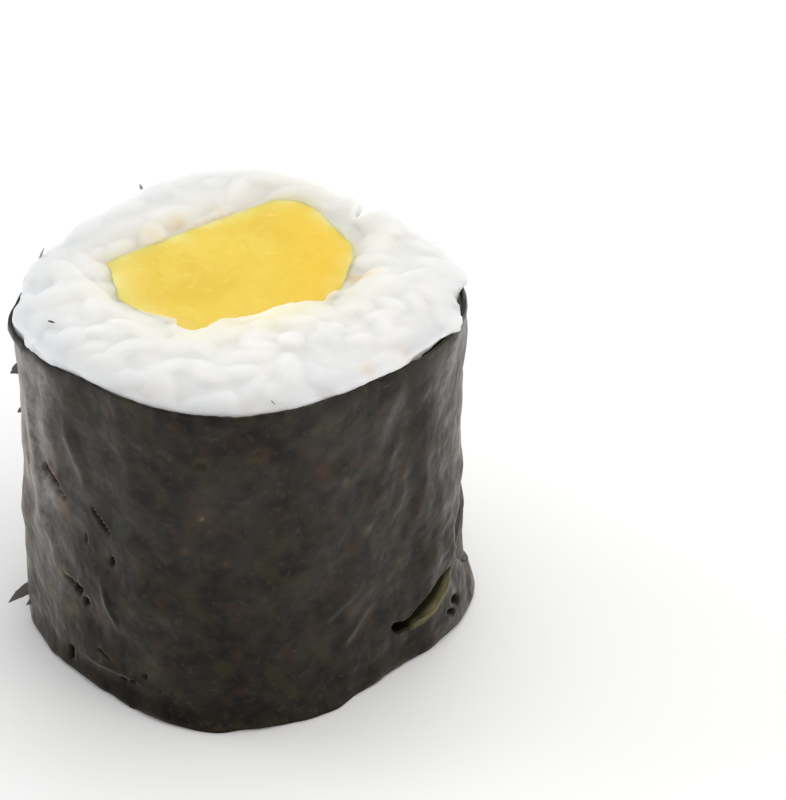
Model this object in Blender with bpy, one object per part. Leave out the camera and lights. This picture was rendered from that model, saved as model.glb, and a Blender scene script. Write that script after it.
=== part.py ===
"""One cut piece of oshinko maki, standing on its lower cut face.

A strip of yellow pickled radish runs through a collar of vinegared rice, and a sheet of nori is rolled
round the rice and laps over itself. Both cut faces show rice grains. Metres, +Z up along the roll.
"""

import math
import random

import bmesh
import bpy
import numpy as np
from mathutils import Matrix, Vector

MM = 0.001

# The roll: a half sheet of nori, 105 by 190 mm, rolled the short way and cut into eight.
ROLL_LENGTH = 190.0 * MM / 8
ROLL_RADIUS = 13.84 * MM
# How the rolling mat squared the roll: (waves round the roll, cosine part, sine part) of its radius.
ROLL_WAVES = (
    (1, -0.25 * MM, -0.34 * MM),
    (2, 0.27 * MM, 0.08 * MM),
    (3, 0.30 * MM, -0.31 * MM),
    (4, 0.68 * MM, 0.08 * MM),
)
# The piece sags as it stands: its foot is wider all round, and most of all at the front.
FOOT_SPREAD = 0.35 * MM
BELLY = 1.20 * MM
BELLY_ANGLE = math.radians(-97)
BELLY_REACH = math.radians(62)
# The right side is pinched in between the rim and the foot.
WAIST = 0.95 * MM
WAIST_ANGLE = math.radians(-4)
WAIST_REACH = math.radians(48)
WAIST_AT_ENDS = 0.50  # share of the pinch that is left at the two cut faces
# The sheet is loose low on the right, where its torn lap stands away from the rice.
FLARE = 0.45 * MM
FLARE_ANGLE = math.radians(-8)
FLARE_REACH = math.radians(30)
FLARE_HEIGHT = 4.5 * MM

NORI_THICKNESS = 0.35 * MM
LAP_END = math.radians(9)  # where the outer end of the sheet stops
LAP_WIDTH = math.radians(38)
LAP_RAMP = math.radians(5)  # the outer layer climbs over the inner end
CREASE_DEPTH = 0.10 * MM
CREASE_WAVES = ((9, 5.0), (4, -7.5))  # creases round the roll, and how far each set turns along it
CREASE_PHASE = 0.8
CREASE_SINK = 0.4  # the creases lie in the face more than they stand on it
RIM_WAVE = 0.14 * MM
RIM_WAVES = ((3, 0.6, 0.5), (7, 0.4, 0.0))  # waves round the rim, share of the height, phase
NORI_SEGMENTS = 96
LAP_STEP = (0.01, 0.35)  # before and after the lap's end, as shares of a segment
WALL_BANDS = 6

# The pickle strip: a thick half moon with its straight side to the back left.
# Each corner is (x, y, rounding radius), going round anticlockwise.
PICKLE_CORNERS = (
    (-9.6 * MM, 2.5 * MM, 0.9 * MM),
    (-3.2 * MM, -5.3 * MM, 2.4 * MM),
    (6.5 * MM, -1.9 * MM, 1.3 * MM),
    (7.3 * MM, 4.4 * MM, 4.5 * MM),
    (3.2 * MM, 12.1 * MM, 1.9 * MM),
)
PICKLE_RISE = 0.15 * MM  # above the nori's rim
PICKLE_BEVEL = 0.25 * MM
BEVEL_ABOVE = math.radians(50)
CORNER_STEPS = 5
SHARP_ABOVE = math.radians(35)

GAP = 0.30 * MM  # between neighbouring pieces
# The rice stands proud of the rim. It rounds down to the nori at the front and hardly at the back.
RICE_CROWN = 1.35 * MM
RICE_DROP_FRONT = 1.15 * MM
RICE_DROP_BACK = 0.05 * MM
RICE_EDGE_WIDTH = 3.2 * MM
CORE_INSET = 0.85 * MM  # the bare core lies this far inside the grains' outer faces
CORE_SEGMENTS = 64
CORE_RINGS = (0.0, 0.35, 0.72, 1.0)  # from the pickle out to the nori, as shares of the way
LEAST_STEP = math.radians(0.6)
ROOM_ABOVE = 5.0 * MM  # cutters run on this far past the cut faces

GRAIN_LENGTH = 5.6 * MM
GRAIN_WIDTH = 2.9 * MM
GRAIN_HEIGHT = 2.5 * MM
GRAIN_SIDES = 6
GRAIN_STATIONS = (-0.62, 0.10, 0.68)  # rings along a grain, as shares of its half length
GRAIN_BLUNT = 0.08  # the thicker end, over the middle
GRAIN_SIZES = (0.9, 1.1)
GRAIN_PITCH = 2.05 * MM  # spacing of the grains that show
GRAIN_REACH = 1.15  # the spiral of grains runs on this far, in radii of the roll
GRAIN_JITTER = 0.25
GRAIN_TILT = math.radians(16)
GRAIN_SINK = 0.35 * MM
GRAIN_CUT = 0.45 * MM  # how much the board flattens the grains of the lower face
GRAIN_NORI_CLEARANCE = 0.7 * MM  # least way from the middle of a grain to its neighbours
GRAIN_PICKLE_CLEARANCE = 0.3 * MM
GOLDEN_ANGLE = math.pi * (3 - math.sqrt(5))
SEED = 7

COLOURS = {
    "nori": ((0.022, 0.024, 0.020, 1), 0.55),
    "rice": ((0.87, 0.86, 0.83, 1), 0.45),
    "pickle": ((0.90, 0.60, 0.05, 1), 0.35),
}


def clear_scene():
    for obj in list(bpy.data.objects):
        bpy.data.objects.remove(obj)


def finish(obj, colour_name):
    """Gives an object its material."""
    colour, roughness = COLOURS[colour_name]
    material = bpy.data.materials.new(colour_name)
    material.use_nodes = True
    shader = material.node_tree.nodes["Principled BSDF"]
    shader.inputs["Base Color"].default_value = colour
    shader.inputs["Roughness"].default_value = roughness
    shader.inputs["Metallic"].default_value = 0.0
    obj.data.materials.clear()
    obj.data.materials.append(material)


def new_object(name, verts, faces):
    mesh = bpy.data.meshes.new(name)
    mesh.from_pydata(verts, [], faces)
    obj = bpy.data.objects.new(name, mesh)
    bpy.context.scene.collection.objects.link(obj)
    return obj


def at(angle, radius, z):
    return (radius * math.cos(angle), radius * math.sin(angle), z)


def ring_solid(name, sections):
    """A solid ring from one closed cross-section for each angle, each going up on its outer side."""
    verts = [point for section in sections for point in section]
    size = len(sections[0])
    faces = []
    for i in range(len(sections)):
        j = (i + 1) % len(sections)
        for k in range(size):
            after = (k + 1) % size
            faces.append((i * size + k, j * size + k, j * size + after, i * size + after))
    return new_object(name, verts, faces)


def stacked_solid(name, rings):
    """A solid through level rings of points, each anticlockwise, from the lowest up."""
    verts = [point for ring in rings for point in ring]
    size = len(rings[0])
    top = size * (len(rings) - 1)
    faces = [tuple(range(size))[::-1], tuple(range(top, top + size))]
    for low in range(0, top, size):
        for i in range(size):
            after = (i + 1) % size
            faces.append((low + i, low + after, low + size + after, low + size + i))
    return new_object(name, verts, faces)


def bell(angle, centre, reach):
    """1 at the centre angle, falling smoothly to 0 at reach on either side."""
    away = math.remainder(angle - centre, math.tau)
    return 0.5 + 0.5 * math.cos(math.pi * away / reach) if abs(away) < reach else 0.0


def smooth(t):
    t = min(1.0, max(0.0, t))
    return t * t * (3 - 2 * t)


# --- the roll's outline ---------------------------------------------------------------------------


def roll_radius(angle, z):
    """Radius of the nori's outer face, without the lap and the creases."""
    radius = ROLL_RADIUS
    for waves, cosine, sine in ROLL_WAVES:
        radius += cosine * math.cos(waves * angle) + sine * math.sin(waves * angle)
    height = min(1.0, max(0.0, z / ROLL_LENGTH))
    radius += (1 - height) * (FOOT_SPREAD + BELLY * bell(angle, BELLY_ANGLE, BELLY_REACH))
    pinch = WAIST_AT_ENDS + (1 - WAIST_AT_ENDS) * math.sin(math.pi * height)
    return radius - WAIST * pinch * bell(angle, WAIST_ANGLE, WAIST_REACH)


def flare(angle, z):
    """How far the loose sheet stands away from the rice."""
    return FLARE * bell(angle, FLARE_ANGLE, FLARE_REACH) * (1 - smooth(z / FLARE_HEIGHT))


def lap(angle):
    """Extra thickness where the sheet lies over itself, from 0 to one thickness."""
    back = (LAP_END - angle) % math.tau
    if back > LAP_WIDTH:
        return 0.0
    return smooth((LAP_WIDTH - back) / LAP_RAMP)


def crease(angle, z):
    """Shallow slanting creases where damp nori clings to the grains."""
    height = z / ROLL_LENGTH
    (fine, fine_turn), (broad, broad_turn) = CREASE_WAVES
    waves = math.sin(fine * angle + fine_turn * height)
    waves *= math.cos(broad * angle + broad_turn * height + CREASE_PHASE)
    return CREASE_DEPTH * (waves - CREASE_SINK)


def rim_height(angle):
    return ROLL_LENGTH + RIM_WAVE * sum(
        share * math.sin(waves * angle + phase) for waves, share, phase in RIM_WAVES)


# --- nori -----------------------------------------------------------------------------------------


def nori_angles():
    """Evenly spaced angles, with a pair that makes the sharp step at the lap's end."""
    step = math.tau / NORI_SEGMENTS
    before, after = LAP_STEP
    angles = [LAP_END + step * i for i in range(1, NORI_SEGMENTS)]
    return [LAP_END - before * step, LAP_END + after * step] + angles


def make_nori():
    """A closed tube: outer and inner faces joined by a rim at each end."""
    sections = []
    for angle in nori_angles():
        heights = [rim_height(angle) * level / WALL_BANDS for level in range(WALL_BANDS + 1)]
        outer, inner = [], []
        for z in heights:
            radius = roll_radius(angle, z) + flare(angle, z)
            outer.append(at(angle, radius + crease(angle, z) + lap(angle) * NORI_THICKNESS, z))
            inner.append(at(angle, radius - NORI_THICKNESS - CREASE_DEPTH, z))
        sections.append(outer + inner[::-1])
    nori = ring_solid("nori", sections)
    nori.data.shade_smooth()
    nori.data.set_sharp_from_angle(angle=SHARP_ABOVE)
    finish(nori, "nori")
    return nori


# --- pickle ---------------------------------------------------------------------------------------


def pickle_outline(grow=0.0):
    """Points round the strip, with each corner an arc. grow moves the outline outwards."""
    points = []
    corners = [(Vector((x, y)), radius) for x, y, radius in PICKLE_CORNERS]
    for i, (corner, radius) in enumerate(corners):
        before = (corners[i - 1][0] - corner).normalized()
        after = (corners[(i + 1) % len(corners)][0] - corner).normalized()
        half = 0.5 * math.acos(max(-1.0, min(1.0, before.dot(after))))
        centre = corner + (before + after).normalized() * radius / math.sin(half)
        start = corner + before * radius / math.tan(half) - centre
        turn = math.pi - 2 * half
        first = math.atan2(start.y, start.x)
        for step in range(CORNER_STEPS + 1):
            angle = first + turn * step / CORNER_STEPS
            points.append(centre + Vector((math.cos(angle), math.sin(angle))) * (radius + grow))
    return points


def pickle_prism(name, bottom, top, grow=0.0):
    outline = pickle_outline(grow)
    return stacked_solid(name, [[(p.x, p.y, z) for p in outline] for z in (bottom, top)])


def make_pickle():
    pickle = pickle_prism("pickle", 0.0, ROLL_LENGTH + PICKLE_RISE)
    bevel = pickle.modifiers.new("cut edges", "BEVEL")
    bevel.width = PICKLE_BEVEL
    bevel.segments = 2
    bevel.angle_limit = BEVEL_ABOVE
    pickle.data.shade_smooth()
    pickle.data.set_sharp_from_angle(angle=SHARP_ABOVE)
    finish(pickle, "pickle")
    return pickle


# --- rice -----------------------------------------------------------------------------------------


def distance_to_pickle(x, y):
    """Shortest way from a point to the strip's outline, negative inside it."""
    outline = pickle_outline()
    point = Vector((x, y))
    best, inside = math.inf, True
    for i, a in enumerate(outline):
        b = outline[(i + 1) % len(outline)]
        edge = b - a
        if edge.length < 1e-9:
            continue
        along = min(1.0, max(0.0, (point - a).dot(edge) / edge.length_squared))
        best = min(best, (a + edge * along - point).length)
        if edge.x * (point.y - a.y) - edge.y * (point.x - a.x) < 0:
            inside = False
    return -best if inside else best


def rice_radius(angle, z):
    return roll_radius(angle, z) - NORI_THICKNESS - CREASE_DEPTH - GAP


def rice_top(x, y):
    """Height of the upper cut face over a point."""
    angle = math.atan2(y, x)
    inward = rice_radius(angle, ROLL_LENGTH) - math.hypot(x, y)
    fall = (1 - min(1.0, max(0.0, inward / RICE_EDGE_WIDTH))) ** 2
    front = 0.5 - 0.5 * math.sin(angle)
    drop = RICE_DROP_BACK + (RICE_DROP_FRONT - RICE_DROP_BACK) * front
    return ROLL_LENGTH + RICE_CROWN - drop * fall


def hole_radius(angle):
    """How far the hole for the pickle reaches at an angle."""
    hole = pickle_outline(GAP)
    way = Vector((math.cos(angle), math.sin(angle)))
    for i, a in enumerate(hole):
        edge = hole[(i + 1) % len(hole)] - a
        cross = way.x * edge.y - way.y * edge.x
        if abs(cross) < 1e-12:
            continue
        reach = (a.x * edge.y - a.y * edge.x) / cross
        share = (a.x * way.y - a.y * way.x) / cross
        if reach > 0 and -1e-6 <= share <= 1 + 1e-6:
            return reach
    return hole[0].length


def core_angles():
    """Even angles, and those of the hole's own points where they aren't nearly the same."""
    wanted = [math.tau * i / CORE_SEGMENTS for i in range(CORE_SEGMENTS)]
    wanted += [math.atan2(p.y, p.x) % math.tau for p in pickle_outline(GAP)]
    angles = []
    for angle in sorted(wanted):
        if not angles or angle - angles[-1] > LEAST_STEP:
            angles.append(angle)
    return angles


def wall_heights():
    return [ROLL_LENGTH * level / WALL_BANDS for level in range(WALL_BANDS + 1)]


def make_core():
    """The bare rice: a collar from the pickle to the nori, its ends set back under the grains."""
    sections = []
    for angle in core_angles():
        inner, foot, rim = hole_radius(angle), rice_radius(angle, 0.0), rice_radius(angle, ROLL_LENGTH)
        wall = [at(angle, rice_radius(angle, z), z) for z in wall_heights()[1:-1]]
        top, bottom = [], []
        for share in CORE_RINGS:
            x, y, _ = at(angle, inner + (rim - inner) * share, 0.0)
            top.append((x, y, rice_top(x, y) - CORE_INSET))
            bottom.append(at(angle, inner + (foot - inner) * share, CORE_INSET))
        sections.append(wall + top[::-1] + bottom)
    return ring_solid("rice", sections)


def make_grain(name, place, collection):
    """A plump short grain with few sides, blunt at one end."""
    bm = bmesh.new()
    tips = [bm.verts.new((-0.5, 0, 0)), bm.verts.new((0.5, 0, 0))]
    rings = []
    for station in GRAIN_STATIONS:
        girth = 0.5 * math.sqrt(1 - station * station) * (1 + GRAIN_BLUNT * station)
        ring = []
        for side in range(GRAIN_SIDES):
            turn = math.tau * side / GRAIN_SIDES
            ring.append(bm.verts.new((0.5 * station, girth * math.cos(turn), girth * math.sin(turn))))
        rings.append(ring)
    for side in range(GRAIN_SIDES):
        after = (side + 1) % GRAIN_SIDES
        bm.faces.new((tips[0], rings[0][after], rings[0][side]))
        bm.faces.new((tips[1], rings[-1][side], rings[-1][after]))
        for low, high in zip(rings, rings[1:]):
            bm.faces.new((low[side], low[after], high[after], high[side]))
    bmesh.ops.transform(bm, matrix=place, verts=bm.verts)
    bmesh.ops.recalc_face_normals(bm, faces=bm.faces)
    mesh = bpy.data.meshes.new(name)
    bm.to_mesh(mesh)
    bm.free()
    obj = bpy.data.objects.new(name, mesh)
    collection.objects.link(obj)


def grain_places(draw, end):
    """Even spots over a cut face, on a sunflower spiral, each with a random lie."""
    spots = math.ceil((GRAIN_REACH * ROLL_RADIUS / GRAIN_PITCH) ** 2 * math.pi)
    for i in range(spots):
        angle = GOLDEN_ANGLE * i
        radius = GRAIN_PITCH * math.sqrt((i + 0.5) / math.pi)
        x = radius * math.cos(angle) + draw.uniform(-1, 1) * GRAIN_JITTER * GRAIN_PITCH
        y = radius * math.sin(angle) + draw.uniform(-1, 1) * GRAIN_JITTER * GRAIN_PITCH
        yaw = draw.uniform(0, math.pi)
        tilt = draw.uniform(-1, 1) * GRAIN_TILT
        size = draw.uniform(*GRAIN_SIZES)
        sink = draw.uniform(0.0, GRAIN_SINK)
        level = ROLL_LENGTH if end == "top" else 0.0
        room = rice_radius(math.atan2(y, x), level) - math.hypot(x, y)
        if room < GRAIN_NORI_CLEARANCE or distance_to_pickle(x, y) < GRAIN_PICKLE_CLEARANCE:
            continue
        half_height = 0.5 * GRAIN_HEIGHT * size
        depth = half_height + sink
        z = rice_top(x, y) - depth if end == "top" else depth - GRAIN_CUT
        lie = Matrix.Rotation(yaw, 4, "Z") @ Matrix.Rotation(tilt, 4, "Y")
        scale = Matrix.Diagonal((GRAIN_LENGTH * size, GRAIN_WIDTH * size, GRAIN_HEIGHT * size, 1))
        yield Matrix.Translation((x, y, z)) @ lie @ scale


def make_room():
    """The space that rice may fill: inside the nori and above the board."""
    angles = [math.tau * (i + 0.5) / CORE_SEGMENTS for i in range(CORE_SEGMENTS)]
    heights = wall_heights() + [ROLL_LENGTH + ROOM_ABOVE]
    return stacked_solid("room", [[at(a, rice_radius(a, z), z) for a in angles] for z in heights])


def apply_boolean(obj, operation, collection=None, other=None):
    cut = obj.modifiers.new(operation.lower(), "BOOLEAN")
    cut.operation = operation
    cut.solver = "MANIFOLD"
    if collection:
        cut.operand_type = "COLLECTION"
        cut.collection = collection
    else:
        cut.object = other
    graph = bpy.context.evaluated_depsgraph_get()
    mesh = bpy.data.meshes.new_from_object(obj.evaluated_get(graph))
    obj.modifiers.clear()
    obj.data = mesh


def keep_outer_skin(obj):
    """Drops loose scraps and the skins of sealed hollows, so that one closed body is left."""
    bm = bmesh.new()
    bm.from_mesh(obj.data)
    todo, bodies = set(bm.verts), []
    while todo:
        body, edge = set(), [todo.pop()]
        while edge:
            vert = edge.pop()
            body.add(vert)
            near = {e.other_vert(vert) for e in vert.link_edges} & todo
            todo -= near
            edge.extend(near)
        bodies.append(body)
    bodies.sort(key=len)
    bmesh.ops.delete(bm, geom=[v for body in bodies[:-1] for v in body], context="VERTS")
    bm.to_mesh(obj.data)
    bm.free()


def make_rice():
    """The core with the grains that show at both cut faces fused on, trimmed to its room."""
    draw = random.Random(SEED)
    rice = make_core()
    grains = bpy.data.collections.new("grains")
    bpy.context.scene.collection.children.link(grains)
    for end in ("top", "bottom"):
        for i, place in enumerate(grain_places(draw, end)):
            make_grain(f"{end}_grain_{i}", place, grains)
    apply_boolean(rice, "UNION", collection=grains)
    for obj in list(grains.objects):
        bpy.data.objects.remove(obj)
    bpy.data.collections.remove(grains)
    room = make_room()
    apply_boolean(rice, "INTERSECT", other=room)
    bpy.data.objects.remove(room)
    hole = pickle_prism("hole", -ROOM_ABOVE, ROLL_LENGTH + ROOM_ABOVE, GAP)
    apply_boolean(rice, "DIFFERENCE", other=hole)
    bpy.data.objects.remove(hole)
    keep_outer_skin(rice)
    finish(rice, "rice")
    return rice


def stand_at_origin(objects):
    """Puts the origin under the middle of the whole piece, on the surface that it stands on."""
    corners = np.array([v.co for obj in objects for v in obj.data.vertices])
    low, high = corners.min(axis=0), corners.max(axis=0)
    middle = Vector(((low[0] + high[0]) / 2, (low[1] + high[1]) / 2, low[2]))
    for obj in objects:
        obj.data.transform(Matrix.Translation(-middle))


clear_scene()
stand_at_origin([make_nori(), make_pickle(), make_rice()])
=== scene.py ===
import math

import bpy
import numpy as np
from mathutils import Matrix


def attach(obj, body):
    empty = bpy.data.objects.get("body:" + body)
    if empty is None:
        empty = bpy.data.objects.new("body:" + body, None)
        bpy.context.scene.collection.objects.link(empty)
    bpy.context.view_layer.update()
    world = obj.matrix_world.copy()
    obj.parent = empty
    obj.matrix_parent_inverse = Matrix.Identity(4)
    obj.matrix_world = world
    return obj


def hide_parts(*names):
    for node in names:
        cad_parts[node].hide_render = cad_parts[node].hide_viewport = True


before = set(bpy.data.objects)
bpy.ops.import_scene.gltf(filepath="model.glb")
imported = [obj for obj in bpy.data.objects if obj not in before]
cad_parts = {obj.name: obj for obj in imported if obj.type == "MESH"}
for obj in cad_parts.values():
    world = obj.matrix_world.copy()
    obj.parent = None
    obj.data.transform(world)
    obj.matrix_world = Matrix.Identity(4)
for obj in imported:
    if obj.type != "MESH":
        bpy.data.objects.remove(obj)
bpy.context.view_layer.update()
mm = 0.001

# Lengths below are in millimetres and angles in degrees, round the roll from +X, anticlockwise from above.


def bell(angle, centre, reach):  # raised cosine: 1 at the centre angle, 0 at reach to either side
    away = signed(angle - centre)
    return np.where(np.abs(away) < reach, 0.5 + 0.5 * np.cos(np.pi * away / reach), 0.0)


def hump(angle, form):  # height * bell, for a form that starts with height, centre and reach
    return form[0] * bell(angle, form[1], form[2])


def ease(t):  # 3t^2 - 2t^3 between 0 and 1
    t = np.clip(t, 0.0, 1.0)
    return t * t * (3 - 2 * t)


def mottle(u, v, cell, seed):  # random heights on a turned square lattice, joined by eased steps, -1 to 1
    draw = np.random.default_rng(seed)
    a, b = spin(u / cell, v / cell, -draw.uniform(0.3, 1.2))
    i, j = np.floor(a).astype(int), np.floor(b).astype(int)
    s, t = ease(a - i), ease(b - j)
    i, j = i - i.min(), j - j.min()
    height = draw.uniform(-1, 1, (i.max() + 2, j.max() + 2))
    low = height[i, j] * (1 - s) + height[i + 1, j] * s
    high = height[i, j + 1] * (1 - s) + height[i + 1, j + 1] * s
    return low * (1 - t) + high * t


def layered(u, v, layers):  # the sum of amount * mottle over layers of (amount, cell, seed)
    return sum(amount * mottle(u, v, cell, seed) for amount, cell, seed in layers)


def polar(angle, radius, z):  # cylinder coordinates to points
    turn = np.radians(angle)
    return np.stack([radius * np.cos(turn), radius * np.sin(turn), z + 0 * radius], axis=-1)


def bearing(x, y):  # the angle of a place round the roll
    return np.degrees(np.arctan2(y, x))


def signed(angle):  # the same angle between -180 and 180
    return (angle + 180) % 360 - 180


def aroundMm(angle):  # the way round the roll, in millimetres
    return angle * math.radians(1) * roll["radius"]


def wholeTurn(count):  # angles in even steps all round, in radians
    return np.linspace(0, 2 * np.pi, count, endpoint=False)


def unit(rows):  # the same directions with length 1
    return rows / np.linalg.norm(rows, axis=-1, keepdims=True)


def spot(x, y, a, b, size):  # 1 at a place, fading by e^-(distance / size)^2
    return np.exp(-((x - a) ** 2 + (y - b) ** 2) / size ** 2)


def spin(a, b, turn):  # a pair of coordinates or directions, the first turned towards the second, in radians
    c, s = np.cos(turn), np.sin(turn)
    return a * c + b * s, b * c - a * s


def loopFaces(loops, count, closed):
    # quads between loops of count points each; the last loop joins the first, or not
    i, k = np.meshgrid(np.arange(loops if closed else loops - 1), np.arange(count), indexing="ij")
    j, m = (i + 1) % loops, (k + 1) % count
    return np.stack([i * count + k, j * count + k, j * count + m, i * count + m], axis=-1).reshape(-1, 4)


def ringFaces(rings, around):  # the quads along an open tube, split the other way
    return np.roll(loopFaces(rings, around, False), -1, axis=1)


def tubeFaces(rings, around):  # a closed tube: its side, and one face over each end
    ends = np.stack([np.arange(around)[::-1], (rings - 1) * around + np.arange(around)])
    return ringFaces(rings, around)[:, ::-1], ends


def spindleFaces(rings, around):  # a closed tube whose ends are fans to the two points that follow its rings
    i, last, tip = np.arange(around), (rings - 1) * around, rings * around
    j = (i + 1) % around
    fans = np.vstack([np.stack([i * 0 + tip, i, j], -1), np.stack([i * 0 + tip + 1, last + j, last + i], -1)])
    return ringFaces(rings, around), fans


def repeated(kinds, count, step):  # the faces of a shape again for each of its copies, step points apart
    offset = (np.arange(count) * step)[:, None, None]
    return [(kind[None] + offset).reshape(-1, kind.shape[-1]) for kind in kinds]


def makePiece(name, points, faces):  # points in mm round the roll's axis; faces as index arrays
    points = (points.reshape(-1, 3) + rollCentre) * mm
    corners = np.concatenate([np.asarray(f).ravel() for f in faces])
    sizes = np.concatenate([np.full(len(f), np.asarray(f).shape[-1]) for f in faces])
    mesh = bpy.data.meshes.new(name)
    mesh.vertices.add(len(points))
    mesh.vertices.foreach_set("co", points.ravel())
    mesh.loops.add(len(corners))
    mesh.loops.foreach_set("vertex_index", corners)
    mesh.polygons.add(len(sizes))
    mesh.polygons.foreach_set("loop_start", np.cumsum(sizes) - sizes)
    mesh.update(calc_edges=True)
    mesh.validate()
    mesh.shade_smooth()
    piece = bpy.data.objects.new(name, mesh)
    bpy.context.scene.collection.objects.link(piece)
    return piece


def readArray(rows, field, width, kind=float):  # one field of a mesh's vertices, edges or loops as an array
    values = np.empty(len(rows) * width, dtype=kind)
    rows.foreach_get(field, values)
    return values.reshape(-1, width)


def meshPoints(mesh):  # a mesh's vertices in mm round the roll's axis
    return readArray(mesh.vertices, "co", 3) / mm - rollCentre


def paint(piece, name, *masks):  # stores up to three masks as a colour attribute on the vertices
    layer = piece.data.color_attributes.new(name, "FLOAT_COLOR", "POINT")
    full = np.zeros((len(piece.data.vertices), 4))
    full[:, 3] = 1
    for column, mask in enumerate(masks):
        full[:, column] = np.ravel(mask)
    layer.data.foreach_set("color", full.ravel())


class Signal:  # one output socket; arithmetic on it adds Math nodes
    def __init__(self, finish, socket):
        self.finish, self.socket = finish, socket

    def maths(self, operation, a, b=0.0):
        return self.finish.node("ShaderNodeMath", {"operation": operation}, {0: a, 1: b})

    def __add__(self, other):
        return self.maths("ADD", self, other)

    def __sub__(self, other):
        return self.maths("SUBTRACT", self, other)

    def __rsub__(self, other):
        return self.maths("SUBTRACT", other, self)

    def __mul__(self, other):
        return self.maths("MULTIPLY", self, other)

    def __truediv__(self, other):
        return self.maths("DIVIDE", self, other)

    __radd__, __rmul__ = __add__, __mul__

    def between(self, low, high):  # eased from 0 at low to 1 at high
        settings = {"interpolation_type": "SMOOTHSTEP"}
        return self.finish.node("ShaderNodeMapRange", settings, {0: self, 1: low, 2: high, 3: 0.0, 4: 1.0})


class Finish:  # the nodes of a material, or of the light all round
    def __init__(self, owner, shader="Principled BSDF", coordinates="Object"):
        owner.use_nodes = True
        self.owner, self.tree = owner, owner.node_tree
        self.shader = self.tree.nodes[shader]
        self.place = self.node("ShaderNodeTexCoord", {}, {}, coordinates)

    def node(self, kind, settings, sockets, output=0):
        node = self.tree.nodes.new(kind)
        for name, value in settings.items():
            setattr(node, name, value)
        for name, value in sockets.items():
            self.plug(node.inputs[name], value)
        return Signal(self, node.outputs[output])

    def plug(self, socket, value):
        if isinstance(value, Signal):
            self.tree.links.new(value.socket, socket)
        else:
            socket.default_value = (*value, 1.0) if socket.type == "RGBA" else value

    def noise(self, perMm, detail=2.0, rough=0.5, twist=0.0, stretch=(1, 1, 1), shift=(0, 0, 0)):
        scale = tuple(s / mm for s in stretch)
        place = self.node("ShaderNodeMapping", {}, {"Vector": self.place, "Location": shift, "Scale": scale})
        sockets = {"Vector": place, "Scale": perMm, "Detail": detail, "Roughness": rough, "Distortion": twist}
        return self.node("ShaderNodeTexNoise", {}, sockets)

    def mix(self, amount, first, second):
        return self.node("ShaderNodeMix", {"data_type": "RGBA"}, {0: amount, 6: first, 7: second}, 2)

    def coats(self, base, *coats):  # colours mixed over a base one after another, each by its amount
        for amount, colour in coats:
            base = self.mix(amount, base, colour)
        return base

    def masks(self, name):  # the three masks of a colour attribute
        colour = self.node("ShaderNodeAttribute", {"attribute_name": name}, {}, "Color")
        parts = self.node("ShaderNodeSeparateColor", {}, {0: colour}).socket.node
        return [Signal(self, socket) for socket in parts.outputs]

    def bump(self, height, depth, strength=1.0):
        return self.node("ShaderNodeBump", {}, {"Height": height, "Distance": depth * mm, "Strength": strength})

    def shadow(self, amount, colour):  # a plain dark matt finish takes over by this share
        matt = self.node("ShaderNodeBsdfDiffuse", {}, {"Color": colour})
        blend = self.node("ShaderNodeMixShader", {}, {0: amount, 1: Signal(self, self.shader.outputs[0]), 2: matt})
        self.plug(self.tree.nodes["Material Output"].inputs[0], blend)

    def set(self, **values):  # colour=... goes to Base Color, and so on
        names = {
            "colour": "Base Color", "roughness": "Roughness", "normal": "Normal", "ior": "IOR",
            "specular": "Specular IOR Level", "coat": "Coat Weight", "coatRoughness": "Coat Roughness",
            "scatter": "Subsurface Weight", "scatterRadius": "Subsurface Radius",
            "scatterScale": "Subsurface Scale", "sheen": "Sheen Weight", "sheenRoughness": "Sheen Roughness",
            "sheenTint": "Sheen Tint", "light": "Color", "strength": "Strength",
        }
        for name, value in values.items():
            self.plug(self.shader.inputs[names[name]], value)
        return self.owner


def newFinish(name):
    return Finish(bpy.data.materials.new(name))


def dress(piece, material, slot, *nodes):
    piece.data.materials.append(material)
    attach(piece, "root")
    if nodes:
        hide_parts(*nodes)


# The roll's form, which nori and rice share.
roll = {
    "length": 190 / 8,  # a half sheet of nori is 190 mm wide, and its roll is cut into eight
    "radius": 13.84,
    "waves": ((1, -0.25, -0.34), (2, 0.27, 0.08), (3, 0.3, -0.31), (4, 0.68, 0.08)),  # squared by the mat
    "footSpread": 0.35,
    "belly": (1.2, -97, 62),  # depth, middle, reach
    "waist": (0.95, -4, 48),
    "waistAtEnds": 0.5,
    "flare": (0.45, -8, 30),
    "flareHeight": 4.5,
    "drawnIn": (0.12, -170, 34),  # the left side leans in towards the foot
    "lapEnd": 9, "lapWidth": 38, "lapRamp": 8,  # angles: where the outer end stops, its way over the inner one
    "perDegree": 0.24,  # millimetres along the rim, for its lumps
}
rollCentre = (-0.17, 0.55, 0.0)  # from the middle of the whole piece's foot


def rollRadius(angle, z):
    # a circle with a few waves, wider towards the foot, with a belly in front and a pinched right side
    radius = roll["radius"] + 0.0 * angle
    for count, cosine, sine in roll["waves"]:
        turn = np.radians(count * angle)
        radius = radius + cosine * np.cos(turn) + sine * np.sin(turn)
    height = np.clip(z / roll["length"], 0, 1)
    radius = radius + (1 - height) * (roll["footSpread"] + hump(angle, roll["belly"]))
    pinch = roll["waistAtEnds"] + (1 - roll["waistAtEnds"]) * np.sin(np.pi * height)
    return radius - hump(angle, roll["drawnIn"]) * ease(1.25 * (1 - height)) - pinch * hump(angle, roll["waist"])


def noriRadius(angle, z):  # the roll's radius with the sheet's flared foot on the right
    return rollRadius(angle, z) + hump(angle, roll["flare"]) * (1 - ease(z / roll["flareHeight"]))


cameraPlace = {
    "pitch": 34, "distance": 300.95, "lens": 198.2, "sensor": 36,
    "picture": (786, 800), "originAt": (252.4, 592),  # the picture's size, and where the origin falls in it
}


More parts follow.
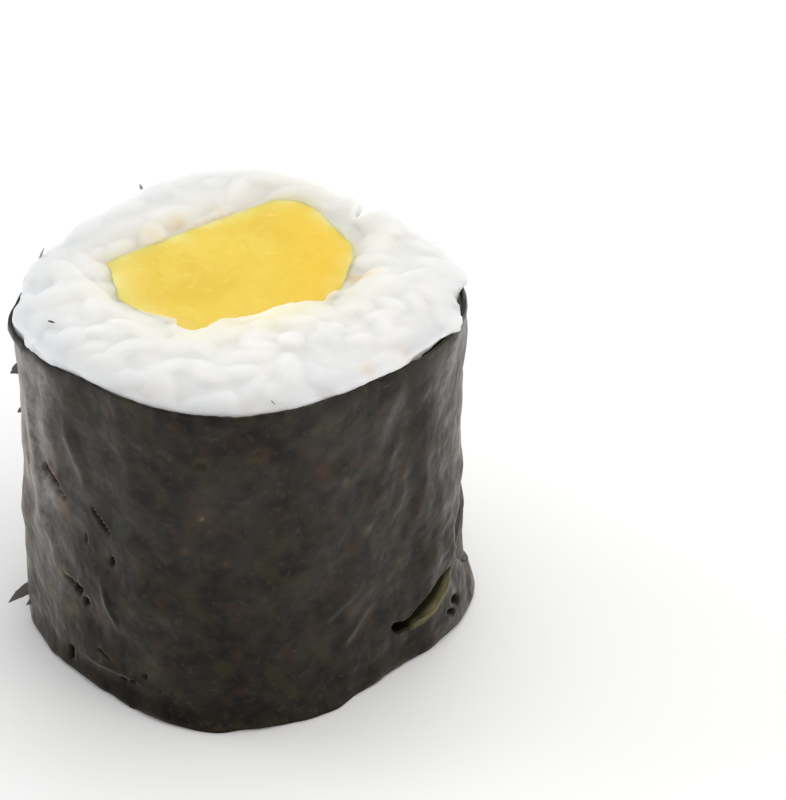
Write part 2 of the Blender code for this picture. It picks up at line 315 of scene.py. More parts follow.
def makeCamera():
    pitch = math.radians(cameraPlace["pitch"])
    forward = np.array([0, math.cos(pitch), -math.sin(pitch)])
    up = np.array([0, math.sin(pitch), math.cos(pitch)])
    width, height = cameraPlace["picture"]
    focal = cameraPlace["lens"] / cameraPlace["sensor"] * height  # in pixels
    aside = (cameraPlace["originAt"][0] - width / 2) / focal
    above = (height / 2 - cameraPlace["originAt"][1]) / focal
    data = bpy.data.cameras.new("camera")
    data.lens, data.sensor_fit = cameraPlace["lens"], "VERTICAL"
    data.sensor_height = cameraPlace["sensor"]
    data.clip_start, data.clip_end = 0.01, 10.0
    camera = bpy.data.objects.new("camera", data)
    camera.location = -(forward + [aside, 0, 0] + up * above) * cameraPlace["distance"] * mm
    camera.rotation_euler = (math.pi / 2 - pitch, 0, 0)
    bpy.context.scene.collection.objects.link(camera)
    bpy.context.scene.camera = camera


lights = {
    # name: (place, what it looks at, width, height, power in watts, colour)
    "overhead": ((90, 80, 420), (0, 0, 10), 460, 400, 0.9, (1, 1, 1)),
    "leftWindow": ((-420, 130, 110), (0, 0, 14), 260, 220, 0.72, (0.92, 0.96, 1)),
    "rightWindow": ((370, -200, 210), (0, 0, 12), 240, 220, 0.42, (1, 0.96, 0.9)),
    "frontFill": ((-60, -400, 330), (0, 0, 4), 420, 300, 0.16, (1, 0.98, 0.95)),
}
surround = {"back": (1.0, 1.0, 1.0), "front": (0.42, 0.42, 0.42), "between": (-0.8, 0.4), "strength": 0.82}
floorLook = {"size": 3000.0, "colour": (0.925, 0.925, 0.92), "roughness": 0.5}


def makeLights():
    for name, (place, target, width, height, power, colour) in lights.items():
        data = bpy.data.lights.new(name, "AREA")
        data.shape, data.size, data.size_y = "RECTANGLE", width * mm, height * mm
        data.energy, data.color = power, colour
        lamp = bpy.data.objects.new(name, data)
        lamp.location = np.array(place) * mm
        aim = np.array(target, float) - np.array(place, float)
        lamp.rotation_euler = (math.atan2(math.hypot(aim[0], aim[1]), -aim[2]), 0, math.atan2(-aim[0], aim[1]))
        bpy.context.scene.collection.objects.link(lamp)
    sky = Finish(bpy.data.worlds.new("surround"), "Background", "Generated")
    backwards = sky.node("ShaderNodeSeparateXYZ", {}, {0: sky.place}, "Y")
    low, high = surround["between"]
    share = sky.node("ShaderNodeMapRange", {}, {0: backwards, 1: low, 2: high})
    bpy.context.scene.world = sky.set(
        light=sky.mix(share, surround["front"], surround["back"]), strength=surround["strength"])


def makeFloor():
    half = floorLook["size"] / 2
    points = np.array([(-half, -half, 0), (half, -half, 0), (half, half, 0), (-half, half, 0)], float)
    floor = makePiece("floor", points, [np.array([[0, 1, 2, 3]])])
    floor.data.materials.append(newFinish("floor").set(
        colour=floorLook["colour"], roughness=floorLook["roughness"], specular=0.3))


makeCamera()
makeFloor()
makeLights()
bpy.context.scene.view_settings.view_transform = "Standard"
print("camera, floor and light are in place")


nori = {
    "columns": 590, "rows": 140, "innerRows": 26,
    "crowding": ((1.5, -28, 40), (1.6, -144, 42)),  # more columns where there is more to show
    "rowCrowding": ((2.4, 0.14, 0.13), (1.2, 0, 0.05)),  # and more rows, by share of the height
    "innerCrowding": ((2.5, 0.12, 0.12), (2.5, 0.48, 0.12)), "innerShort": 0.9,  # its hidden face ends sooner
    "thickness": 0.22, "innerDepth": 0.5,  # the sheet at its cut edges, and how far in its hidden face lies
    "layer": 0.26, "tuck": 0.16,  # how far the lap lies over the sheet's inner end, and that end below it
    "undercut": 0.24, "underHeight": 0.5,  # the bottom edge turns in
    "footFold": (0.36, -123, 34, 2),  # and a wide band of it on the left: depth, middle, reach, height
    "leftTip": (0.12, -167, 14),  # the rim's left end stands away from the rice: depth, middle, reach
    "tipFlick": (0.56, -167, 11, 1.4),  # and its last edge turns out: depth, middle, reach, height
    # the inner end swells where the lap is torn off: depth, middle and reach in angle, and in height
    "shelf": (0.6, 6, 20, 7, 4.8),
    "rimWaves": ((0.06, 3, 0.5), (0.04, 7, 0)), "rimFray": 0.06, "rimCurl": 0.1,  # height, waves all round, shift
    # parts of the rim that stand higher or lower
    "rimParts": ((0.36, -171, 15), (-0.3, 170, 14), (-0.14, -95, 110), (-0.42, -154, 22), (-0.22, -34, 36),
                 (-0.45, 6, 30), (0.75, -4, 10)),
    "rimShadeLine": (0.8, -154, 28, 0.32),  # painted shade along the rim on the left: how much, middle, reach, width
    # relief in layers of (height, size, seed): the rice behind the sheet, and the pattern of its creases
    "ricePress": ((0.156, 2.7, 11), (0.084, 1.5, 12)), "creases": ((1, 2.1, 18), (0.35, 0.8, 19)),
    "wrinkle": 0.02, "crumple": 0.035, "grain": 0.005,  # the sheet's own relief, from its creases to its fibres
    # painted sheen, paler parts up the left side: how much, middle and reach in angle, from and to in height
    "dried": ((1.35, -157, 16, 11, 23.2), (0.65, -152, 16, 3.5, 14.5), (0.45, -176, 22, 3, 22),
              (1, -163, 14, 20, 24.4)),
    # the foot spreads, in places more or less
    "footSpread": 0.16, "spreadParts": ((3, -104, 92), (-1.6, -16, 26), (-2.4, -85, 13), (1.7, -66, 12)),
    # painted shade where the lap is torn off, by angle and by height, and along the foot on the left
    "lapShade": (0.65, -2, 24, 7.2, 5.4), "footShade": (0.42, -126, 42),
    # the outer end: its fray in layers, how far it curls out and sinks in, and the degrees in which it does so
    "endFray": ((0.96, 1.7, 21), (0.64, 0.55, 22)), "endCurl": 0.24, "endSink": 0.14, "endReach": 16,
    "endPull": 60,  # degrees over which the columns are drawn to the line where it stops
    # that line as (z, angle): part of the end is torn off above the tear
    "endLine": ((0, 9), (1.6, 9), (2.4, 1), (3.2, -8), (4.3, -14), (5.6, -17), (8.1, -16), (9.2, -11), (10.9, -8),
                (12, 2), (13.2, 9)),
    "colours": {
        "dark": (0.003, 0.0022, 0.001), "light": (0.0135, 0.0098, 0.0047), "cloud": (0.021, 0.0155, 0.0092),
        "speck": (0.06, 0.047, 0.031), "rust": (0.048, 0.017, 0.007), "moss": (0.03, 0.031, 0.005),
        # dried is a paler colour painted as sheen
        "dried": (0.195, 0.176, 0.165), "brown": (0.09, 0.045, 0.022), "tornEdge": (0.27, 0.24, 0.105),
        "shadow": (0.004, 0.0028, 0.0018), "sheen": (1, 0.91, 0.83),
        # spikes is painted pale, as painted sheen on them
        "spikes": (0.15, 0.137, 0.122), "shreds": (0.3, 0.305, 0.315),
    },
}
# Scars and small holes: (angle, z, half length, slope from level, half width, depth, lip).
scars = (
    (-148.9, 14.55, 0.95, -24, 0.29, 0.5, 0.16),
    (-144.3, 13.9, 0.6, -20, 0.09, 0.22, 0.05),
    (-129, 13.6, 1.05, -46, 0.08, 0.34, 0.08),
    (-134.8, 11.6, 0.36, -88, 0.09, 0.18, 0.03),
    (-162.2, 13.9, 0.35, -70, 0.14, 0.25, 0.12),
    (-125.3, 10.8, 0.36, -85, 0.16, 0.3, 0.04),
    (-141.9, 7.3, 0.6, -9, 0.17, 0.36, 0.1),
    (-138.2, 7.05, 0.34, -20, 0.26, 0.5, 0.05),
    (-135.2, 6.4, 0.32, -75, 0.19, 0.4, 0.05),
    (-141.3, 1.5, 0.55, -88, 0.18, 0.45, 0.05),
    (-99.2, 20.1, 0.34, 0, 0.3, 0.14, 0.06),
    (-84.8, 20.9, 0.26, -35, 0.14, 0.1, 0.02),
    (-18.6, 2.45, 0.72, -33, 0.21, 0.5, 0),
    (-21.6, 1.98, 0.5, -32, 0.17, 0.42, 0),
    (-121.5, 2, 0.24, -20, 0.11, 0.25, 0),
    (-118.6, 2.15, 0.22, 10, 0.1, 0.2, 0),
    (-114.8, 2.95, 0.24, -70, 0.1, 0.2, 0),
    (-128.4, 3.1, 0.55, -18, 0.1, 0.22, 0.06),
    (88, 15, 0.7, 35, 0.14, 0.35, 0.12),
    (131, 8, 0.5, -50, 0.16, 0.35, 0.1),
    (61, 5.5, 0.4, 80, 0.14, 0.3, 0.05),
)
# Coloured blots in the sheet: (angle, z, size, green, brown).
stains = (
    (-150.4, 5.2, 0.55, 0.16, 0), (-146, 7.3, 0.35, 0.14, 0.3), (-141.2, 5, 0.6, 0.14, 0.2),
    (-142.6, 12.9, 0.75, 0.1, 0.75), (-152, 14.9, 0.26, 0, 1), (-99.2, 20, 0.45, 0.13, 0),
    (-98.9, 16.6, 0.75, 0, 0.5), (-99.5, 16.2, 0.12, 0.5, 0.9), (-84.8, 20.9, 0.5, 0, 0.5),
    (-103.6, 13.6, 0.28, 0, 0.75), (-93.7, 12.9, 0.24, 0, 0.75), (-66, 18.5, 0.9, 0, 0.35),
    (-60, 17, 0.3, 0.1, 0.5), (-23, 1.6, 0.3, 0, 0.8), (-28, 1.2, 0.35, 0, 0.6),
    (-40, 8.5, 0.35, 0.12, 0.1), (-52, 12.5, 0.3, 0.12, 0.1), (-70, 5, 0.8, 0.06, 0),
    (-112, 4, 0.8, 0.05, 0.1), (35, 15, 0.6, 0.1, 0.1), (80, 7, 0.5, 0, 0.5),
    (120, 17, 0.6, 0.12, 0), (150, 6, 0.5, 0.05, 0.4), (172, 12, 0.4, 0, 0.5),
)
# Long soft folds: (angle, z, half length, slope, half width, height).
folds = (
    (-127, 7.2, 2.2, -69, 0.22, 0.18),
    (-158, 14.5, 7, -86, 0.85, 0.16),
    (-149, 18, 4.5, -80, 0.8, 0.12),
    (-141, 19, 3, -72, 0.7, 0.08),
    (-168, 8, 5, -84, 0.8, 0.12),
    (-63.5, 7.4, 1.6, 22, 0.25, 0.16),
    (-58, 5.6, 2.4, 35, 0.35, 0.12),
    (-126, 2.15, 3.4, 2, 0.22, 0.13),
    (-44, 17, 3.4, 58, 0.7, 0.1),
    (-33, 12, 3.6, 66, 0.6, 0.1),
    (-60, 14, 3.4, 50, 0.8, 0.08),
    (-152, 10, 3.4, -64, 0.5, 0.12),
    (-158, 17, 3, -72, 0.5, 0.12),
    (-139, 17.5, 3, -60, 0.5, 0.1),
    (40, 12, 4, 62, 0.6, 0.12),
    (95, 9, 4, -55, 0.7, 0.12),
    (150, 14, 4, 60, 0.6, 0.12),
)
# The tear low on the right, below the lap: (angle, z of its lower side, z of its upper side).
tear = {
    "line": ((-44.5, 3.6, 3.65), (-43, 3.1, 3.85), (-41.5, 2.92, 3.7), (-39, 2.82, 3.46), (-36.8, 2.78, 3.42),
             (-34.6, 3.06, 3.8), (-32.9, 3.14, 4.08), (-31.1, 3.34, 4.36), (-29, 3.5, 4.58), (-26.7, 3.65, 4.8),
             (-24.2, 3.9, 4.92), (-21.6, 4.24, 5), (-19.2, 4.52, 4.97), (-16.5, 4.7, 4.8)),
    "followTo": -3, "jag": 0.06,  # where the grid is straight again, and how ragged the sides are
    "soft": 0.13, "ledge": 0.7, "ledgeFoot": 0.3,  # how soft the upper side is; the lower one's slope and its start
    "lift": 0.28, "reach": 1.3, "dip": 0.8,  # how far its lower side stands out, and its floor lies in
    "behind": (0.75, -30, 25),  # the sheet's hidden face lies deeper there: depth, middle, reach
    "olive": 0.62, "oliveFrom": 0.24, "oliveWidth": 0.4,  # the pale torn edge of the lower side
    "ribbon": (0.24, 0.07), "ribbonUp": 0.06,  # a thin curl of it: width, thickness, and how far up it reaches
    "ribbonMesh": (90, 10),
}


def alongAndAcross(angle, z, middleAngle, middleZ, slope):
    return spin(aroundMm(signed(angle - middleAngle)), z - middleZ, math.radians(slope))


def followTear(angle, z):
    # shifts heights by bell(z) * (lower side of the tear - level), so that the grid's rows run along the tear
    angles, low, _ = np.array(tear["line"]).T
    angle = signed(angle)
    fade = ease((tear["followTo"] - angle) / (tear["followTo"] - angles[-1]))
    return z + fade * (np.interp(angle, angles, low) - low[0]) * bell(z, low[0], low[0])


def tearLine(angle):
    # heights of the tear's lower and upper side at each angle, the share of the way along, and 0 beyond both ends
    angles, low, high = np.array(tear["line"]).T
    angle = signed(angle)
    share = (angle - angles[0]) / (angles[-1] - angles[0])
    jag = tear["jag"] * mottle(angle * roll["perDegree"], 0 * angle, 0.5, 17)
    return (np.interp(angle, angles, low) + jag, np.interp(angle, angles, high) + 0.6 * jag[::-1],
            share, ease(share / 0.05) * ease((1 - share) / 0.15))


def noriRelief(angle, z):
    # the sheet's relief, and masks for painted shade (in its scars, the tear's slit, the torn-off lap, the left rim
    # and along the foot), green torn edge and brown lips
    around = aroundMm(angle)
    crease = (1 - np.abs(layered(around, z, nori["creases"]))) ** 3
    relief = layered(around, z, nori["ricePress"])
    relief += nori["wrinkle"] * (crease - 0.3) * ease(0.7 + mottle(around, z, 4.5, 20))
    relief += nori["crumple"] * mottle(around * 0.75, z * 1.1, 0.95, 13)
    relief += nori["grain"] * mottle(around, z, 0.36, 14)
    dark, green, brown = np.zeros_like(z), np.zeros_like(z), np.zeros_like(z)
    for place, height, half, slope, width, depth, lip in scars:
        along, across = alongAndAcross(angle, z, place, height, slope)
        width = width * (1 + 0.35 * mottle(along + 50, across * 0 + place, 0.5, 15))
        fade = ease(1.6 - 1.6 * np.abs(along) / (half * 1.25))
        groove = np.exp(-(across / width) ** 2) * fade
        ridge = np.exp(-((across - 2.1 * width) / (1.3 * width)) ** 2) * fade
        relief += lip * ridge - depth * groove
        # a scar's groove is painted dark: painted shade in the recess
        dark = np.maximum(dark, np.minimum(1.5 * groove, 1) * min(1.0, 0.35 + 1.2 * depth))
        brown = np.maximum(brown, ridge * min(1.0, lip / 0.14))
    for place, height, half, slope, width, rise in folds:
        along, across = alongAndAcross(angle, z, place, height, slope)
        bend = across + 0.3 * mottle(along + 30, along * 0 + place, 2.4, 16)
        relief += rise * np.exp(-(bend / width) ** 2) * ease(1.3 - 1.3 * np.abs(along) / half)
    low, high, share, opening = tearLine(angle)
    below = low - z
    step, under = ease(tear["ledgeFoot"] - below / tear["ledge"]), ease(0.5 + (high - z) / tear["soft"])
    inside = opening * step * under
    lip = opening * np.exp(-np.clip(below, 0, None) / tear["reach"]) * ease(0.5 + below / tear["soft"])
    pale = ease((share - tear["oliveFrom"]) / 0.08)
    relief += tear["lift"] * lip * (0.3 + 0.7 * pale) - tear["dip"] * inside
    # painted shadow in the tear's slit, under its upper side
    dark = np.maximum(dark, opening * under * ease((step - 0.13 * pale) / 0.22))
    streak = 0.75 + 0.45 * mottle(around * 0.7, 3.5 * below, 0.7, 28)
    green = tear["olive"] * opening * pale * streak * under * ease(1.2 + below / tear["ledge"])
    green = green * (1 - ease((below - 0.1) / tear["oliveWidth"]))
    for place, height, size, greener, browner in stains:
        along, across = alongAndAcross(angle, z, place, height, 0)
        blot = np.exp(-(along ** 2 + across ** 2) / size ** 2 * (1 + 0.7 * mottle(around, z, 0.5, 27)))
        green, brown = np.maximum(green, greener * blot), np.maximum(brown, browner * blot)
    brown = np.maximum(brown, 0.5 * np.exp(-(z / 0.22) ** 2))
    # painted shade along the foot on the left, where the sheet turns under
    dark = np.maximum(dark, hump(angle, nori["footShade"]) * ease((1.9 - z) / 0.7))
    dark = np.maximum(dark, 0.75 * ease((0.42 - z) / 0.3))  # painted shade along the cut edge at the foot
    return relief, dark, green, brown


def noriSheen(angle, z):  # painted sheen: paler streaks up its left side, standing in for reflected light
    around = aroundMm(angle)
    streaks = 0.72 + 0.5 * mottle(around, z * 0.3, 0.9, 51) + 0.25 * mottle(around, z * 0.8, 0.5, 52)
    pale = sum(hump(angle, part) * ease((z - part[3]) / 2.5) * ease(part[4] - z) for part in nori["dried"])
    return np.clip(pale * streaks, 0, 1)


def noriRim(angle):
    # the height of the sheet's upper edge: slow waves, a fine fray, and parts that stand lower or higher
    around = aroundMm(angle)
    rim = roll["length"] + nori["rimFray"] * mottle(around, 0 * around, 0.6, 23)
    rim = rim + sum(rise * np.sin(np.radians(count * angle) + shift) for rise, count, shift in nori["rimWaves"])
    return rim + sum(hump(angle, part) for part in nori["rimParts"])


def onLap(angle):  # 1 where the sheet lies over its own inner end
    return ease((angle - roll["lapEnd"] + roll["lapWidth"] + roll["lapRamp"]) / roll["lapRamp"])


def crowded(start, end, count, crowding):
    # values from start to end, closer together where the density, 1 and the given bells, is higher
    even = np.linspace(start, end, 2000)
    density = 1.0 + sum(hump(even, part) for part in crowding)
    run = np.concatenate([[0], np.cumsum(0.5 * (density[1:] + density[:-1]))])
    return np.interp(np.linspace(0, run[-1], count), run, even)


def zipFaces(up, down):
    # triangles between a row of points going up and one coming back down, each side joined to its nearest opposite
    i = np.arange(len(up) - 1)
    near = np.abs(down[None] - 0.5 * (up[1:] + up[:-1])[:, None]).argmin(axis=1) + len(up)
    turn = np.nonzero(np.diff(near))[0]
    return np.vstack([np.stack([i, i + 1, near], -1), np.stack([turn + 1, near[turn + 1], near[turn]], -1)])


def makeNori():
    # a strip wound once round and over its own inner end: radius and height over angle and share of the height,
    # which goes up the outer face (side 0) and comes down the inner one (side 1)
    up = crowded(0, 1, nori["rows"], nori["rowCrowding"])
    down = crowded(0, 1, nori["innerRows"], nori["innerCrowding"])[::-1]
    columns, rows = nori["columns"], len(up) + len(down)
    share = np.tile(np.append(up, down), (columns, 1))
    side = np.tile(np.repeat([0.0, 1.0], [len(up), len(down)]), (columns, 1))
    end = roll["lapEnd"]
    angle = crowded(end - 360 - roll["lapWidth"], end, columns, nori["crowding"])[:, None] + 0 * share
    nearEnd = ease(1 + (angle - end) / nori["endReach"])
    under = ease((end - 360 - angle + 3) / 5)  # 1 where the strip lies under its own lap
    height = share * roll["length"]
    stop = np.interp(height, *np.array(nori["endLine"]).T) - end + layered(height, 0 * angle, nori["endFray"])
    stop = stop - nori["innerShort"] * side * np.sin(np.pi * share) ** 0.3
    angle, inner = angle + stop * ease(1 + (angle - end) / nori["endPull"]), angle < end - 360
    around = aroundMm(angle)
    rim = noriRim(angle) - 0.15 * under
    z = followTear(angle, share * rim)
    relief, dark, green, brown = noriRelief(np.where(inner, angle + 360, angle), z)
    over = onLap(angle)
    shade = nori["lapShade"]
    # painted shade on the sheet's inner end where the lap is torn off
    torn = (1 - over) * hump(angle, shade) * bell(z, *shade[3:]) * ease(1.2 + mottle(around, z, 0.5, 29))
    # painted shade along the rim on the left
    wet = hump(angle, nori["rimShadeLine"]) * ease(1.6 + 1.6 * (z - rim) / nori["rimShadeLine"][3])
    dark = np.maximum.reduce([dark, torn, wet])
    quiet = ease(z / 0.8) * ease((rim - z) / 0.5)
    relief = relief * (1 - 0.7 * side) * (0.45 + 0.55 * quiet)
    spread = 0.3 + sum(hump(angle, part) for part in nori["spreadParts"]) + 0.8 * mottle(around, 0 * around, 1.1, 25)
    curl = nearEnd ** 3 * (0.5 + 0.5 * mottle(z, 0 * z, 1.9, 24)) * (0.3 + 0.7 * ease((z - 3.0) / 2.0))
    radius = sum((
        noriRadius(angle, z),
        nori["layer"] * over - nori["tuck"] * under,
        nori["footSpread"] * (1 - ease(z / 2.0)) * spread,
        -nori["rimCurl"] * (1 - ease((rim - z) / 0.6)) * (1 - side),
        hump(angle, nori["leftTip"]) * ease((z - rim + 9.0) / 8.6),
        hump(angle, nori["tipFlick"]) * ease(1 + (z - rim) / nori["tipFlick"][3]),
        hump(angle, nori["shelf"]) * (1 - over) * bell(z, *nori["shelf"][3:]),
        -hump(angle, nori["footFold"]) * ease(1 - z / nori["footFold"][3]),
        -nori["undercut"] * np.clip(1 - z / nori["underHeight"], 0, 1) ** 2 * (1 - side),
        nori["endCurl"] * curl - nori["endSink"] * nearEnd ** 2 * ease((6.0 - z) / 2.0)))
    depth = nori["thickness"] + (nori["innerDepth"] - nori["thickness"]) * np.sin(np.pi * share) ** 0.5 * (1 - under)
    depth = depth + hump(angle, tear["behind"]) * ease(12 * share) * ease((0.6 - share) / 0.25)
    cap = zipFaces(up, down)
    faces = [loopFaces(columns, rows, False), np.vstack([cap, cap[:, ::-1] + (columns - 1) * rows])]
    piece = makePiece("noriWrap", polar(angle, radius + relief - side * depth, z), faces)
    paint(piece, "marks", dark, green, brown)
    paint(piece, "dried", noriSheen(angle, z))
    return piece


def noriFinish():
    finish, colours = newFinish("nori"), nori["colours"]
    dark, green, brown = finish.masks("marks")
    dried = finish.masks("dried")[0]
    cloud = finish.noise(0.36, 2.0, 0.6, 0.3)
    blotch = finish.noise(0.85, 1.0, 0.5, 0.2, shift=(7, 3, 1))
    speck = finish.noise(2.2, 2.0, 0.5, 0.3, shift=(2, 9, 4))
    rust = finish.noise(0.6, 1.5, 0.5, 0.3, shift=(31, 5, 8)).between(0.54, 0.72)
    moss = finish.noise(0.5, 1.5, 0.5, 0.3, shift=(3, 41, 18)).between(0.54, 0.72)
    damp = finish.noise(0.2, 2.0, 0.5, 0.4, shift=(11, 2, 6)).between(0.38, 0.62)
    upper = (finish.node("ShaderNodeSeparateXYZ", {}, {0: finish.place}, 2) / mm).between(1.0, 20.0)
    base = finish.mix(blotch.between(0.36, 0.64), colours["dark"], colours["light"])
    # the dried coat is painted sheen up the left side
    base = finish.coats(
        base, (cloud.between(0.4, 0.68) * 0.45, colours["cloud"]),
        (speck.between(0.54, 0.74) * 0.4, colours["speck"]), (rust * 0.4, colours["rust"]),
        (moss * 0.4, colours["moss"]),
        (dried * (0.35 + 0.65 * speck.between(0.3, 0.7)), colours["dried"]),
        (brown * 0.75, colours["brown"]), (green, colours["tornEdge"]))
    rough = 0.47 - 0.14 * cloud.between(0.35, 0.65) + 0.16 * speck.between(0.4, 0.7) + 0.3 * dark
    relief = finish.bump(blotch + speck * 0.14 + finish.noise(5.0, 1.0) * 0.04, 0.15, 1.0)
    # painted shade: where the dark mask is, a plain dark matt finish takes over
    finish.shadow(dark * 0.92, colours["shadow"])
    return finish.set(
        colour=base, roughness=rough, normal=relief, specular=0.17, coat=(0.04 + 0.24 * upper) * (0.5 + 0.7 * damp),
        coatRoughness=0.4, sheen=0.3, sheenRoughness=0.35, sheenTint=colours["sheen"])


noriMaterial = noriFinish()
noriPiece = makeNori()
dress(noriPiece, noriMaterial, "nori", "nori")
print("nori wrap:", len(noriPiece.data.polygons), "faces")


# Loose bits of nori: (angle, z, way out from the sheet, length, width, turn, lean, twist, curl).
flakes = (
    (7, 17.6, -0.4, 0.9, 0.7, 90, 50, 90, 0),
    (8, 13.2, -0.4, 1.1, 0.9, 270, 55, 90, 0),
    (8, 14.6, -0.4, 0.8, 0.7, 90, 60, 90, 0),
    (-50, 0.45, -0.22, 0.7, 0.9, 280, 22, 0, 0.05),
    (-55, 0.5, -0.22, 0.6, 0.8, 265, 20, 0, 0.05),
    (-60.5, 0.4, -0.22, 0.6, 0.7, 290, 20, 0, 0.05),
    (-119, 0.45, -0.2, 0.7, 0.7, 275, 20, 0, 0.05),
    (-47, 23, -0.2, 0.9, 0.6, 12, 30, 0, 0.1),
    (74, 12, -0.2, 0.9, 0.6, 30, 25, 0, 0.1),
)
# Dry spikes that stand off the left side, and thin shreds at the back of the upper edge, laid out the same way.
spikes = (
    (-168, 3.1, -1.05, 3.15, 0.95, 270, 55, 90, -0.05),
    (-166.5, 2.2, -0.95, 1.7, 0.7, 270, 50, 90, 0),
    (-176, 19.2, -0.6, 1.5, 0.9, 270, 52, 90, 0),
    (-177, 15.6, -0.5, 1, 0.5, 270, 50, 90, 0),
)
shreds = (
    (178, 24.1, -0.25, 0.9, 0.3, 170, 0, 0, 0),
    (167, 24.6, -0.25, 1.2, 0.34, 175, 0, 0, 0),
    (151, 24.7, -0.2, 1.4, 0.34, 185, 0, 0, 0),
    (121, 24.5, 0.45, 0.5, 0.22, 75, 8, 0, 0.05),
    (109, 24.6, -0.1, 0.8, 0.3, 176, 0, 0, 0),
    (101, 24.6, -0.1, 1.3, 0.3, 185, 0, 0, 0),
)
# Bits on the rice: (x, y, height over it, length, width, turn, lean, twist, curl).
flecks = (
    (-12.45, -4.7, 0.02, 0.7, 0.22, -42, 8, 0, 0.02),
    (2.1, -13.1, 0.08, 0.65, 0.05, -62, 0, 0, 0.02),
)
flakeMesh = {"along": 14, "across": 8, "thickness": 0.07}


def flakeShape(draw, length, width, curl):
    # a pointed leaf with a ragged edge, bent along its length: closed, its upper and lower faces joined all round
    run = np.linspace(0, 1, flakeMesh["along"])[:, None]
    turn = wholeTurn(flakeMesh["across"])
    ragged = 1 + 0.14 * draw.uniform(-1, 1, run.shape)
    half = 0.5 * width * (np.sin(np.pi * (0.12 + 0.88 * run)) * ragged + 0.03)
    x = length * run + 0 * turn
    y = half * np.cos(turn) + 0.05 * width * np.sin(run * 6 + length * 9)
    z = 0.5 * flakeMesh["thickness"] * np.sin(turn) * (0.35 + 0.65 * np.sin(np.pi * run)) + curl * (run * 1.4) ** 2
    return np.stack([x, y, z], axis=-1)


def makeBits(name, onSheet, onRice):
    draw = np.random.default_rng(8)
    spots = []
    for angle, z, away, *form in onSheet:
        out = polar(angle, 1.0, 0.0)
        spots.append((out * (rollRadius(angle, z) + away) + [0, 0, z], out, *form))
    for x, y, away, *form in onRice:
        top = riceTop(np.array([x]), np.array([y]))[0]
        spots.append((np.array([x, y, top + away]), np.array([0, 0, 1.0]), *form))
    clouds = []
    for place, out, length, width, turn, lean, twist, curl in spots:
        # flat on the surface whose outward direction is out: turned about it, leaning away from it, then twisted
        level = np.cross([0, 0, 1.0], out) if abs(out[2]) < 0.9 else np.array([1.0, 0, 0])
        ahead, aside = spin(level, np.cross(out, level), math.radians(turn))
        ahead, up = spin(ahead, out, math.radians(lean))
        aside, up = spin(aside, up, math.radians(twist))
        clouds.append(place + flakeShape(draw, length, width, curl) @ np.stack([ahead, aside, up]))
    faces = repeated(tubeFaces(flakeMesh["along"], flakeMesh["across"]), len(clouds), clouds[0].size // 3)
    piece = makePiece(name, np.array(clouds), faces)
    paint(piece, "marks", 0.0, 0.0, 0.25)
    return piece


def makeTornEdge():
    # a thin curl along the lower side of the tear: its rings follow the tear's line
    rings, around = tear["ribbonMesh"]
    turn = wholeTurn(around)
    angle = np.linspace(tear["line"][0][0], tear["line"][-1][0], rings + 2)[1:-1, None] + 0 * turn
    low, _, share, opening = tearLine(angle)
    ragged = 1 + 0.35 * mottle(angle * roll["perDegree"], 0 * angle + 3, 0.4, 26)
    wide = tear["ribbon"][0] * ease((share - tear["oliveFrom"]) / 0.2) * ease((1 - share) / 0.4) * ragged + 0.01
    thick = tear["ribbon"][1] * (0.3 + 0.7 * opening)
    z = low + tear["ribbonUp"] - 0.5 * wide + 0.5 * wide * np.cos(turn)
    relief = noriRelief(angle, low - 0.35)[0]
    radius = noriRadius(angle, z) + nori["layer"] * onLap(angle) + relief + 0.5 * thick * np.sin(turn)
    piece = makePiece("noriTornEdge", polar(angle, radius, z), tubeFaces(rings, around))
    # olive, painted a little paler along the curl's upper side as a painted highlight
    lit = tear["olive"] * (0.7 + 0.1 * np.cos(turn)) + 0.12 * mottle(angle * 0.15, (z - low) * 3, 0.3, 28)
    lit = lit * ease((share - tear["oliveFrom"]) / 0.08)
    paint(piece, "marks", 0.0, lit)
    return piece


pickle = {
    # corners (x, y, rounding), going round anticlockwise
    "corners": ((-9.25, 3.3, 0.9), (-8, -1.2, 1.3), (-3.3, -5.9, 1.5), (6.3, -1.85, 1.3), (7.45, 5.1, 4.2),
                (3.25, 12, 1.9), (-6.4, 5.5, 3)),
    "rise": 0.3, "slope": 0.022,  # of the cut, higher at the back
    "around": 360, "rings": 46, "wallRows": 60,
    "edgeRound": 0.1, "wobble": 0.16,  # of its edges; how uneven its sides are
    "faceRelief": ((0.036, 2.4, 32), (0.018, 0.9, 33), (0.012, 0.4, 34)),  # layers of (height, size, seed)
    "colours": {
        "dark": (0.73, 0.505, 0.043), "light": (0.78, 0.565, 0.06), "vein": (0.81, 0.635, 0.11),
        # edge is a paler colour painted as a highlight along the strip's edges
        "speck": (0.88, 0.76, 0.24), "edge": (0.94, 0.81, 0.34),
        "left": (0.79, 0.66, 0.19), "right": (0.8, 0.51, 0.011),
    },
}


